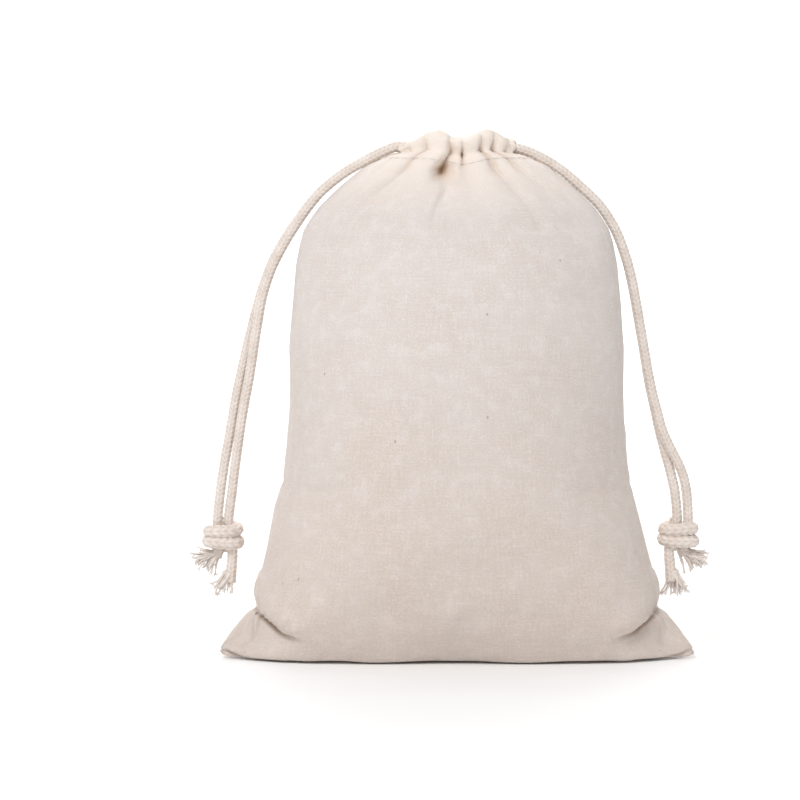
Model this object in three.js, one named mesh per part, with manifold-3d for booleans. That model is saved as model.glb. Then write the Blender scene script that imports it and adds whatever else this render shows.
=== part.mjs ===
// A filled cotton muslin drawstring bag: two sewn panels around a loose filling, a gathered
// cord channel at the mouth, and two drawcords that leave it left and right, each hanging down
// its own side as two strands held together by a knot with frayed tails.
// Millimetres. +X is the bag's right, -Y its front, +Z up. Origin: centre of the base, on the floor.

import * as THREE from 'three';
import { mergeVertices } from 'three/addons/utils/BufferGeometryUtils.js';
import Module from 'manifold-3d';

const wasm = await Module();
wasm.setup();

// ---- driving dimensions -------------------------------------------------------------------

const GAP = 0.3;              // air left between neighbouring pieces
const CLOTH = 0.5;            // thickness of the muslin with its crumple
const BODY_TOP = 152.3;       // height of the panels where the channel starts
const SEAM_BASE_Y = -19;      // the bottom seam lies this far forward; the side seams lean back from it
const SEAM_WIDTH = 6;         // sewn-in seam allowance
const SEAM_THICK = 1.0;       // two layers and the overlock thread
const FILL_TOP = 146;         // level of the filling
const FILL_HALF_WIDTH = 59;   // the filling stops short of the flat corner ears
const CORD_RADIUS = 1.6;      // braided drawcord
const CORD_SIDES = 8;
const THREAD_RADIUS = 0.3;    // stitched line under the channel
const EXIT_X = 14.4;          // where a drawcord turns out of the channel
const LEAD_START_X = 15.5;    // the short stretch of each strand at the channel's side
const LEAD_END_X = 18.4;
const EXIT_HALF_GAP = 1.9;    // a cord's two strands leave at this distance either side of the seam

// Bag sections: [height, half width, front, back, pinch]. A pinch of 1 is an ellipse and 2 a lens.
const BODY_SECTIONS = [
  [0, 71.5, -22, 24, 1.9],
  [3, 73.5, -25.5, 28, 2.0],
  [8, 71.8, -29.5, 32.5, 1.9],
  [14, 66, -33, 35.5, 1.6],
  [18.2, 63.5, -35, 37, 1.4],
  [30.7, 60.5, -38.5, 39.5, 1.15],
  [43.2, 57.4, -40, 40.5, 1.05],
  [55.7, 54.3, -40.5, 40.5, 1],
  [68.3, 53, -40.5, 40, 1],
  [80.8, 52.4, -40, 39.5, 1],
  [98.3, 52.2, -39.5, 38.5, 1],
  [112, 51.2, -38.5, 37, 1],
  [123.4, 49.9, -36.5, 35, 1],
  [131, 47.9, -34, 32.5, 1],
  [136, 45, -31.5, 30, 1],
  [141, 41.5, -28.5, 27, 1],
  [146, 36.5, -24, 23, 1],
  [149, 32, -20.5, 19.5, 1],
  [151, 27, -17, 16.5, 1],
  [BODY_TOP, 21, -13.5, 13.5, 1],
];

// Gathered channel: [height, half width, half depth]
const CHANNEL_SECTIONS = [
  [BODY_TOP + GAP, 18.8, 13],
  [155.5, 16.8, 11.6],
  [158.5, 16.3, 11.2],
  [161, 17, 11.7],
  [163.6, 17.3, 12],
  [165, 15.8, 10.6],
];

// Plan of a cord inside the channel, from its own exit round to the far side: [x, distance from the seam]
const RING_PLAN = [[14.4, 1.9], [11.6, 1.95], [8, 2.7], [4.4, 3.5], [0, 3.8], [-3.8, 3.5], [-6.6, 2.6], [-7.9, 1.2]];
const RING_FAR_X = -8.2;

// Route of each hanging pair of strands: [x, y, z, distance between the strands, turn in degrees].
// A turn of 90 puts one strand in front of the other, 0 puts them side by side.
const RIGHT_PAIR = [
  [19.3, 0, 158.2, 3.8, 90],
  [24.8, 0, 156.2, 3.7, 90],
  [31.9, 0, 152.1, 3.6, 90],
  [38.4, 0, 146.7, 3.6, 90],
  [44.3, 0, 141, 3.6, 90],
  [47.9, 0, 136, 3.6, 90],
  [50.6, 0, 130.9, 3.6, 90],
  [53.3, 0, 123.4, 3.6, 90],
  [55.2, 0, 115.8, 3.6, 90],
  [57.1, 0, 105.4, 3.6, 90],
  [58.9, 0, 95.2, 3.6, 90],
  [60.7, -0.2, 84.9, 3.6, 88],
  [62.5, -0.4, 77.2, 3.6, 84],
  [64.4, -0.6, 69.6, 3.6, 76],
  [66.4, -0.8, 64, 3.6, 55],
  [68.3, -1, 59.2, 3.6, 28],
  [69.6, -1.1, 55.2, 3.8, 12],
  [70.5, -1.2, 51.2, 3.7, 6],
  [71, -1.2, 47, 3.6, 2],
  [71.3, -1.2, 42.6, 3.5, 0],
];
const LEFT_PAIR = [
  [-19.3, 0, 158.7, 3.8, 90],
  [-24.4, 0, 156.6, 3.7, 90],
  [-30.5, 0, 153.4, 3.6, 90],
  [-36.6, 0, 149.6, 3.6, 90],
  [-42.6, 0, 144.6, 3.6, 88],
  [-46.9, 0, 139.5, 3.6, 86],
  [-50.3, 0, 134.7, 3.6, 84],
  [-53.4, 0, 129.9, 3.6, 82],
  [-57.2, 0, 123, 3.6, 80],
  [-59.6, 0, 117, 3.6, 80],
  [-61.4, 0, 111.2, 3.6, 76],
  [-63, 0, 104, 3.6, 66],
  [-64.4, 0, 97.2, 3.6, 54],
  [-65.6, -0.2, 91, 3.6, 42],
  [-66.8, -0.4, 84.9, 3.6, 32],
  [-67.9, -0.6, 79.2, 3.6, 32],
  [-68.8, -0.8, 74.1, 3.6, 32],
  [-70.1, -1, 66.1, 3.6, 26],
  [-71.4, -1.1, 57.9, 3.7, 16],
  [-72.5, -1.2, 49.7, 3.7, 6],
  [-73.4, -1.2, 42.1, 3.5, 0],
];

// Knot under each pair: [centre x, y, z]; its profile is two stacked wraps. The strands end 1 mm
// above it, which is the room that the knot needs to swing forwards and back.
const RIGHT_KNOT = [70, -1.2, 36.8];
const LEFT_KNOT = [-73.4, -1.2, 36.3];
const KNOT_PROFILE = [
  [0, -4.4], [4.2, -4.4], [5.9, -3.3], [6.2, -1.8], [5.4, -0.1], [6, 1.7], [5.6, 3.3], [4, 4.4], [0, 4.4],
];
const KNOT_FLATTENING = 0.76;

// Frayed tails below a knot, outward positive: [top offset, bottom offset, length, top radius, bottom radius]
const TAILS = {
  front: [-3.4, -2.6, 13.6, 1.7, 3.3],
  back: [2.4, 6.6, 7.2, 1.7, 3.4],
};
const TAIL_HALF_GAP = 1.2;

// ---- materials ----------------------------------------------------------------------------

const muslin = () => new THREE.MeshStandardMaterial({ color: 0xe9dfd2, roughness: 0.92, metalness: 0 });
const braid = () => new THREE.MeshStandardMaterial({ color: 0xefe6dc, roughness: 0.85, metalness: 0 });
const thread = () => new THREE.MeshStandardMaterial({ color: 0xe4dac8, roughness: 0.8, metalness: 0 });
const herbs = () => new THREE.MeshStandardMaterial({ color: 0x7d6f45, roughness: 1, metalness: 0 });

// ---- geometry helpers ---------------------------------------------------------------------

const bag = new THREE.Group();

function add(name, geometry, material) {
  const mesh = new THREE.Mesh(geometry, material);
  mesh.name = name;
  bag.add(mesh);
  return mesh;
}

function toSolid(geometry) {
  const bare = geometry.clone();
  bare.deleteAttribute('normal');
  bare.deleteAttribute('uv');
  const merged = mergeVertices(bare, 1e-4);
  return new wasm.Manifold(new wasm.Mesh({
    numProp: 3,
    vertProperties: new Float32Array(merged.attributes.position.array),
    triVerts: new Uint32Array(merged.index.array),
  }));
}

// The largest body of a solid, so that a sliver left by a cut is dropped
function toGeometry(solid) {
  const bodies = solid.decompose().sort((a, b) => b.volume() - a.volume());
  const mesh = bodies[0].getMesh();
  const geometry = new THREE.BufferGeometry();
  geometry.setAttribute('position', new THREE.BufferAttribute(mesh.vertProperties, 3));
  geometry.setIndex(new THREE.BufferAttribute(mesh.triVerts, 1));
  geometry.computeVertexNormals();
  return geometry;
}

// A closed solid through rings of equal point count, listed upwards and running anticlockwise
function loft(rings) {
  const count = rings[0].length;
  const points = rings.flat();
  const triangles = [];
  for (let r = 0; r + 1 < rings.length; r += 1) {
    for (let i = 0; i < count; i += 1) {
      const a = r * count + i;
      const b = r * count + ((i + 1) % count);
      triangles.push(a, b, b + count, a, b + count, a + count);
    }
  }
  for (const [ring, flip] of [[0, true], [rings.length - 1, false]]) {
    const centre = new THREE.Vector3();
    rings[ring].forEach((point) => centre.addScaledVector(point, 1 / count));
    points.push(centre);
    for (let i = 0; i < count; i += 1) {
      const a = ring * count + i;
      const b = ring * count + ((i + 1) % count);
      triangles.push(points.length - 1, flip ? b : a, flip ? a : b);
    }
  }
  const geometry = new THREE.BufferGeometry();
  geometry.setAttribute('position', new THREE.Float32BufferAttribute(points.flatMap((p) => p.toArray()), 3));
  geometry.setIndex(triangles);
  geometry.computeVertexNormals();
  return geometry;
}

function cordSection(radius, sides = CORD_SIDES) {
  const outline = [];
  for (let i = 0; i < sides; i += 1) {
    const angle = (2 * Math.PI * i) / sides;
    outline.push(new THREE.Vector2(radius * Math.cos(angle), radius * Math.sin(angle)));
  }
  return new THREE.Shape(outline);
}

function tube(points, radius, steps, sides = CORD_SIDES) {
  const path = new THREE.CatmullRomCurve3(points, false, 'centripetal');
  return new THREE.ExtrudeGeometry(cordSection(radius, sides), { steps, bevelEnabled: false, extrudePath: path });
}

// A block between two corners
function block(low, high) {
  const size = high.map((value, i) => value - low[i]);
  const geometry = new THREE.BoxGeometry(...size);
  geometry.translate(...low.map((value, i) => value + size[i] / 2));
  return geometry;
}

// ---- panels, seams and filling ------------------------------------------------------------

const BODY_SEGMENTS = 36;
const SEAM_LEAN = Math.atan2(-SEAM_BASE_Y, BODY_TOP);
const seamY = (z) => SEAM_BASE_Y * (1 - z / BODY_TOP);

function bodyRing([height, halfWidth, front, back, pinch], inset, rise) {
  const seam = seamY(height);
  const z = height + rise * (1 - height / BODY_TOP);
  const ring = [];
  for (let i = 0; i < BODY_SEGMENTS; i += 1) {
    const angle = (2 * Math.PI * i) / BODY_SEGMENTS;
    const sine = Math.sin(angle);
    const depth = (sine < 0 ? seam - front : back - seam) - inset;
    const y = seam + Math.sign(sine) * depth * Math.abs(sine) ** pinch;
    ring.push(new THREE.Vector3((halfWidth - inset) * Math.cos(angle), y, z));
  }
  return ring;
}

// The bag's form drawn in by an inset, with its base raised; where it cuts a larger one it
// carries on past the top
function bodySolid(inset, rise = inset) {
  const rings = BODY_SECTIONS.map((section) => bodyRing(section, inset, rise));
  if (inset > 0) {
    rings.push(rings.at(-1).map((point) => point.clone().setZ(BODY_TOP + 1)));
  }
  return toSolid(loft(rings));
}

// A block that leans with the side seams, between two distances from the seam plane
function leaningBlock(near, far) {
  const geometry = block([-100, near, -20], [100, far, 200]);
  geometry.rotateX(-SEAM_LEAN);
  geometry.translate(0, SEAM_BASE_Y, 0);
  return toSolid(geometry);
}

const shell = bodySolid(0).subtract(bodySolid(CLOTH));
add('front_panel', toGeometry(shell.intersect(leaningBlock(-90, -GAP / 2))), muslin());
add('back_panel', toGeometry(shell.intersect(leaningBlock(GAP / 2, 90))), muslin());

const seamInset = CLOTH + GAP;
const seamFin = bodySolid(seamInset + 2 * GAP, seamInset)
  .subtract(bodySolid(seamInset + SEAM_WIDTH))
  .intersect(leaningBlock(-SEAM_THICK / 2, SEAM_THICK / 2))
  .intersect(toSolid(block([-100, -50, -1], [100, 50, BODY_TOP - GAP])));
const bottomSeamHalf = 58;
const bottomSeamTop = 14;
const bottomZone = (grow) => toSolid(block(
  [-bottomSeamHalf - grow, -50, -1],
  [bottomSeamHalf + grow, 50, bottomSeamTop],
));
const sideSeams = seamFin.subtract(bottomZone(GAP));
add('bottom_seam', toGeometry(seamFin.intersect(bottomZone(0))), thread());
add('left_side_seam', toGeometry(sideSeams.intersect(toSolid(block([-100, -50, -1], [0, 50, 200])))), thread());
add('right_side_seam', toGeometry(sideSeams.intersect(toSolid(block([0, -50, -1], [100, 50, 200])))), thread());

const seamRoom = bodySolid(0)
  .subtract(bodySolid(seamInset + SEAM_WIDTH + 4 * GAP, seamInset + SEAM_WIDTH + GAP))
  .intersect(leaningBlock(-SEAM_THICK / 2 - GAP, SEAM_THICK / 2 + GAP));
const fillingZone = toSolid(block([-FILL_HALF_WIDTH, -60, -1], [FILL_HALF_WIDTH, 60, FILL_TOP]));
add('herb_filling', toGeometry(bodySolid(seamInset).intersect(fillingZone).subtract(seamRoom)), herbs());

// ---- channel, its stitching and the cords inside it ----------------------------------------

const CHANNEL_SEGMENTS = 32;

// side is 1 for the right cord and -1 for the left; each cord climbs or sinks away from its exit,
// so that the two pass one above the other on both sides of the mouth
const CORDS = {
  right: { side: 1, exitZ: 158.2, farZ: 155.1, pair: RIGHT_PAIR, knot: RIGHT_KNOT },
  left: { side: -1, exitZ: 158.7, farZ: 161.9, pair: LEFT_PAIR, knot: LEFT_KNOT },
};

function ringPoints({ side, exitZ, farZ }) {
  const height = (x) => exitZ + ((farZ - exitZ) * (EXIT_X - x)) / (EXIT_X - RING_FAR_X);
  const front = RING_PLAN.map(([x, out]) => new THREE.Vector3(side * x, -out, height(x)));
  const back = RING_PLAN.map(([x, out]) => new THREE.Vector3(side * x, out, height(x))).reverse();
  return [...front, new THREE.Vector3(side * RING_FAR_X, 0, farZ), ...back];
}

function leadPoints({ side, exitZ }, strandSide, fromX, toX) {
  const y = strandSide * EXIT_HALF_GAP;
  return [new THREE.Vector3(side * fromX, y, exitZ), new THREE.Vector3(side * toX, y, exitZ)];
}

function channelRing([z, halfWidth, halfDepth]) {
  const ring = [];
  for (let i = 0; i < CHANNEL_SEGMENTS; i += 1) {
    const angle = (2 * Math.PI * i) / CHANNEL_SEGMENTS;
    ring.push(new THREE.Vector3(halfWidth * Math.cos(angle), halfDepth * Math.sin(angle), z));
  }
  return ring;
}

const RING_STEPS = 20;
const tunnelRadius = CORD_RADIUS + 1.6 * GAP;
let gathered = toSolid(loft(CHANNEL_SECTIONS.map(channelRing)));
for (const cord of Object.values(CORDS)) {
  gathered = gathered.subtract(toSolid(tube(ringPoints(cord), tunnelRadius, RING_STEPS)));
  for (const strandSide of [-1, 1]) {
    const bore = tube(leadPoints(cord, strandSide, EXIT_X - 1, LEAD_END_X + 5), tunnelRadius, 2);
    gathered = gathered.subtract(toSolid(bore));
  }
}
const frontHalf = toSolid(block([-60, -60, 100], [60, -GAP / 2, 200]));
const backHalf = toSolid(block([-60, GAP / 2, 100], [60, 60, 200]));
add('front_channel', toGeometry(gathered.intersect(frontHalf)), muslin());
add('back_channel', toGeometry(gathered.intersect(backHalf)), muslin());

// One line of lockstitch round each half of the channel's foot
function stitchPoints(direction) {
  const [z, halfWidth, halfDepth] = [154.2, 18.4, 12.8];
  const points = [];
  for (let i = 0; i <= 12; i += 1) {
    const angle = direction * (0.09 + (0.82 * i) / 12) * Math.PI;
    points.push(new THREE.Vector3(halfWidth * Math.cos(angle), halfDepth * Math.sin(angle), z));
  }
  return points;
}
add('front_channel_stitching', tube(stitchPoints(-1), THREAD_RADIUS, 24, 6), thread());
add('back_channel_stitching', tube(stitchPoints(1), THREAD_RADIUS, 24, 6), thread());

// ---- drawcords: ring in the channel, leads, hanging strands, knot and tails -----------------

function strandPoints(pair, strandSide) {
  return pair.map(([x, y, z, apart, turn]) => {
    const angle = THREE.MathUtils.degToRad(turn);
    const shift = -strandSide * (apart / 2);
    return new THREE.Vector3(x + shift * Math.cos(angle), y - shift * Math.sin(angle), z);
  });
}

function knotGeometry([x, y, z]) {
  const profile = KNOT_PROFILE.map(([radius, height]) => new THREE.Vector2(radius, height));
  const geometry = new THREE.LatheGeometry(profile, 20);
  geometry.rotateX(Math.PI / 2);
  geometry.scale(1, KNOT_FLATTENING, 1);
  geometry.translate(x, y, z);
  return geometry;
}

function tailGeometry([topOffset, bottomOffset, length, topRadius, bottomRadius], knot, side, strandSide) {
  const sides = 10;
  const top = knot[2] + KNOT_PROFILE[0][1] - GAP;
  const rings = [];
  for (const fraction of [1, 0.55, 0]) {
    const x = knot[0] + side * (topOffset + fraction * (bottomOffset - topOffset));
    const spread = fraction > 0.55 ? bottomRadius : topRadius + fraction;
    const ring = [];
    for (let i = 0; i < sides; i += 1) {
      const angle = (2 * Math.PI * i) / sides;
      const y = knot[1] + strandSide * TAIL_HALF_GAP + 0.6 * spread * Math.sin(angle);
      ring.push(new THREE.Vector3(x + spread * Math.cos(angle), y, top - fraction * length));
    }
    rings.push(ring);
  }
  return loft(rings);
}

const STRAND_STEPS = 19;
for (const [sideName, cord] of Object.entries(CORDS)) {
  add(`${sideName}_cord_in_channel`, tube(ringPoints(cord), CORD_RADIUS, RING_STEPS), braid());
  add(`${sideName}_knot`, knotGeometry(cord.knot), braid());
  for (const [strandName, strandSide] of [['front', -1], ['back', 1]]) {
    const lead = leadPoints(cord, strandSide, LEAD_START_X, LEAD_END_X);
    add(`${sideName}_${strandName}_lead`, tube(lead, CORD_RADIUS, 2), braid());
    const strand = strandPoints(cord.pair, strandSide);
    add(`${sideName}_${strandName}_strand`, tube(strand, CORD_RADIUS, STRAND_STEPS), braid());
    const tail = tailGeometry(TAILS[strandName], cord.knot, cord.side, strandSide);
    add(`${sideName}_${strandName}_tail`, tail, braid());
  }
}

export default bag;
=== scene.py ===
"""Looks of a filled muslin drawstring bag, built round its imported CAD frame. Metres, +Z up, front is -Y."""
import math
import bpy
import numpy as np
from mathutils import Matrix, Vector


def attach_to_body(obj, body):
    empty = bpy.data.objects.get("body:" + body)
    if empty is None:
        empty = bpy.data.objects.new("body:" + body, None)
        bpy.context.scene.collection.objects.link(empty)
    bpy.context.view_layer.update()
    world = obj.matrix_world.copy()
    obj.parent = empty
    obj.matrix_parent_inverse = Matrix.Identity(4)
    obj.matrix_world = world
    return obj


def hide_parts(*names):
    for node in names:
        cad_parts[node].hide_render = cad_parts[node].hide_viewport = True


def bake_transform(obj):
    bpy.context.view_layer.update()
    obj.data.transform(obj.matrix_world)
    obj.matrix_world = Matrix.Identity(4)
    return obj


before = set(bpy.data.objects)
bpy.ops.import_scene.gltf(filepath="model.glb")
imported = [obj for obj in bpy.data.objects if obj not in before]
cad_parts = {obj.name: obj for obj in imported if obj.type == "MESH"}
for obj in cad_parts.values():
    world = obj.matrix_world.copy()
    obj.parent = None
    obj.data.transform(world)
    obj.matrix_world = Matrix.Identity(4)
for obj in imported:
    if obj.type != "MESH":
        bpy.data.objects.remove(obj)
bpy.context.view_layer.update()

SEED = 11
rng = np.random.default_rng(SEED)

# ---- dimensions ----

FLAT_WIDTH, FLAT_LENGTH = 0.150, 0.200   # one panel as cut and hemmed
STITCH_V = 0.188                         # height on the flat panel of the channel's stitching
CORD_V = 0.194                           # height on the flat panel of the cords
GATHER_V = 0.152                         # the cloth narrows towards the mouth from here up
CLOTH_THICK = 0.00045
HEM_THICK = 0.0009                       # two layers
CORD_RADIUS = 0.00165
SEAM_BASE_Y = -0.019                     # the bottom seam lies this far forward
MOUTH_Z = 0.1585                         # height of the gathered mouth's cords
EAR_X = 0.0735                           # the corner ears reach this far out

# Half width of the filled bag by height
OUTLINE = [
    (0.012, 0.0668), (0.0182, 0.0637), (0.0307, 0.0605), (0.0432, 0.0574), (0.0557, 0.0543),
    (0.0683, 0.053), (0.0808, 0.0524), (0.0983, 0.0523), (0.112, 0.0512), (0.1234, 0.0500), (0.130, 0.0486),
    (0.135, 0.0465), (0.1398, 0.0432), (0.1453, 0.0378), (0.1506, 0.0315), (0.1545, 0.0250),
    (0.1562, 0.0208),
]

# Routes of the hanging pairs, as in the CAD model: (x, y, z, distance between strands, turn in degrees)
RIGHT_PAIR = [
    (0.0193, 0, 0.1582, 0.0038, 90), (0.0248, 0, 0.1562, 0.0037, 90), (0.0319, 0, 0.1521, 0.0036, 90),
    (0.0384, 0, 0.1467, 0.0036, 90), (0.0443, 0, 0.141, 0.0036, 90), (0.0479, 0, 0.136, 0.0036, 90),
    (0.0506, 0, 0.1309, 0.0036, 90), (0.0533, 0, 0.1234, 0.0036, 90), (0.0552, 0, 0.1158, 0.0036, 90),
    (0.0571, 0, 0.1054, 0.0036, 90), (0.0589, 0, 0.0952, 0.0036, 90), (0.0607, -0.0002, 0.0849, 0.0036, 88),
    (0.0625, -0.0004, 0.0772, 0.0036, 84), (0.0644, -0.0006, 0.0696, 0.0036, 76),
    (0.0664, -0.0008, 0.064, 0.0036, 55), (0.0683, -0.001, 0.0592, 0.0036, 28),
    (0.0696, -0.0011, 0.0552, 0.0038, 12), (0.0705, -0.0012, 0.0512, 0.0037, 6),
    (0.071, -0.0012, 0.047, 0.0036, 2), (0.0713, -0.0012, 0.0426, 0.0035, 0),
]
LEFT_PAIR = [
    (-0.0193, 0, 0.1587, 0.0038, 90), (-0.0244, 0, 0.1566, 0.0037, 90), (-0.0305, 0, 0.1534, 0.0036, 90),
    (-0.0366, 0, 0.1496, 0.0036, 90), (-0.0426, 0, 0.1446, 0.0036, 88), (-0.0469, 0, 0.1395, 0.0036, 86),
    (-0.0503, 0, 0.1347, 0.0036, 84), (-0.0534, 0, 0.1299, 0.0036, 82), (-0.0572, 0, 0.123, 0.0036, 80),
    (-0.0596, 0, 0.117, 0.0036, 80), (-0.0614, 0, 0.1112, 0.0036, 76), (-0.063, 0, 0.104, 0.0036, 66),
    (-0.0644, 0, 0.0972, 0.0036, 54), (-0.0656, -0.0002, 0.091, 0.0036, 42),
    (-0.0668, -0.0004, 0.0849, 0.0036, 32), (-0.0679, -0.0006, 0.0792, 0.0036, 32),
    (-0.0688, -0.0008, 0.0741, 0.0036, 32), (-0.0701, -0.001, 0.0661, 0.0036, 26),
    (-0.0714, -0.0011, 0.0579, 0.0037, 16), (-0.0725, -0.0012, 0.0497, 0.0037, 6),
    (-0.0734, -0.0012, 0.0421, 0.0035, 0),
]
# Plan of a cord's ring in the channel, from its exit to the far side: (x, distance from the seam)
RING_PLAN = [
    (0.0144, 0.0019), (0.0116, 0.00195), (0.008, 0.0027), (0.0044, 0.0035), (0, 0.0038),
    (-0.0038, 0.0035), (-0.0066, 0.0026), (-0.0079, 0.0012),
]
RING_FAR_X = -0.0082
CORDS = {
    "right": {
        "side": 1, "exit_z": 0.1582, "far_z": 0.1551, "pair": RIGHT_PAIR, "knot": (0.070, -0.0012, 0.0368),
    },
    "left": {
        "side": -1, "exit_z": 0.1587, "far_z": 0.1598, "pair": LEFT_PAIR, "knot": (-0.0734, -0.0012, 0.0363),
    },
}
EXIT_HALF_GAP = 0.0019

# ---- camera ----

VIEW_TARGET = Vector((-0.0177, 0, 0.0792))
VIEW_DISTANCE = 1.3
VIEW_ELEVATION = math.radians(6)
FIELD_WIDTH = 0.2515

camera_data = bpy.data.cameras.new("camera")
camera_data.sensor_width = 36
camera_data.lens = 36 * VIEW_DISTANCE / FIELD_WIDTH
camera = bpy.data.objects.new("camera", camera_data)
bpy.context.collection.objects.link(camera)
towards_camera = Vector((0, -math.cos(VIEW_ELEVATION), math.sin(VIEW_ELEVATION)))
camera.location = VIEW_TARGET + VIEW_DISTANCE * towards_camera
camera.rotation_euler = (VIEW_TARGET - camera.location).to_track_quat("-Z", "Y").to_euler()
bpy.context.scene.camera = camera

# ---- materials ----


class Nodes:
    """A material's node tree, with short calls for the nodes that the fabrics use."""

    def __init__(self, name):
        self.material = bpy.data.materials.new(name)
        self.material.use_nodes = True
        self.tree = self.material.node_tree
        self.shader = self.tree.nodes["Principled BSDF"]

    def add(self, kind, inputs=None, **settings):
        node = self.tree.nodes.new(kind)
        for key, value in settings.items():
            setattr(node, key, value)
        for key, value in (inputs or {}).items():
            if isinstance(value, bpy.types.NodeSocket):
                self.tree.links.new(value, node.inputs[key])
            else:
                node.inputs[key].default_value = value
        return node

    def math(self, operation, a, b=0.0):
        return self.add("ShaderNodeMath", {0: a, 1: b}, operation=operation).outputs[0]

    def scaled(self, vector, scale):
        return self.add("ShaderNodeVectorMath", {0: vector, 1: scale}, operation="MULTIPLY").outputs[0]

    def attribute(self, name):
        return self.add("ShaderNodeAttribute", attribute_name=name).outputs["Fac"]

    def mix(self, factor, a, b, blend="MIX"):
        node = self.add("ShaderNodeMix", {0: factor, 6: a, 7: b}, data_type="RGBA", blend_type=blend)
        return node.outputs[2]

    def tint(self, colour, where, strength, a, blend="MIX"):
        """The colour with another laid over it, at this strength where the mask is 1"""
        return self.mix(self.math("MULTIPLY", where, strength), colour, a, blend)

    def noise(self, vector, scale, detail=2.0, roughness=0.5):
        inputs = {"Vector": vector, "Scale": scale, "Detail": detail, "Roughness": roughness}
        return self.add("ShaderNodeTexNoise", inputs).outputs["Fac"]

    def ramp(self, value, low, high):
        """0 below low, 1 above high"""
        inputs = {"Value": value, "From Min": low, "From Max": high, "To Min": 0.0, "To Max": 1.0}
        return self.add("ShaderNodeMapRange", inputs, clamp=True).outputs[0]

    def link(self, value, socket):
        self.tree.links.new(value, self.shader.inputs[socket])

    def surface(self, colour, grain, roughness, height, bump_strength, bump_distance, sheen=None):
        """Links the shader: roughness varies with the grain between two values."""
        self.link(colour, "Base Color")
        inputs = {"Value": grain, "To Min": roughness[0], "To Max": roughness[1]}
        self.link(self.add("ShaderNodeMapRange", inputs).outputs[0], "Roughness")
        inputs = {"Strength": bump_strength, "Distance": bump_distance, "Height": height}
        self.link(self.add("ShaderNodeBump", inputs).outputs[0], "Normal")
        if sheen:
            self.shader.inputs["Sheen Weight"].default_value = sheen[0]
            self.shader.inputs["Sheen Roughness"].default_value = sheen[1]


THREAD_PITCH = 0.00046
SLUB_WIDTH, SLUB_LENGTH = 0.0006, 0.009     # of a thread's thick stretches


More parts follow.
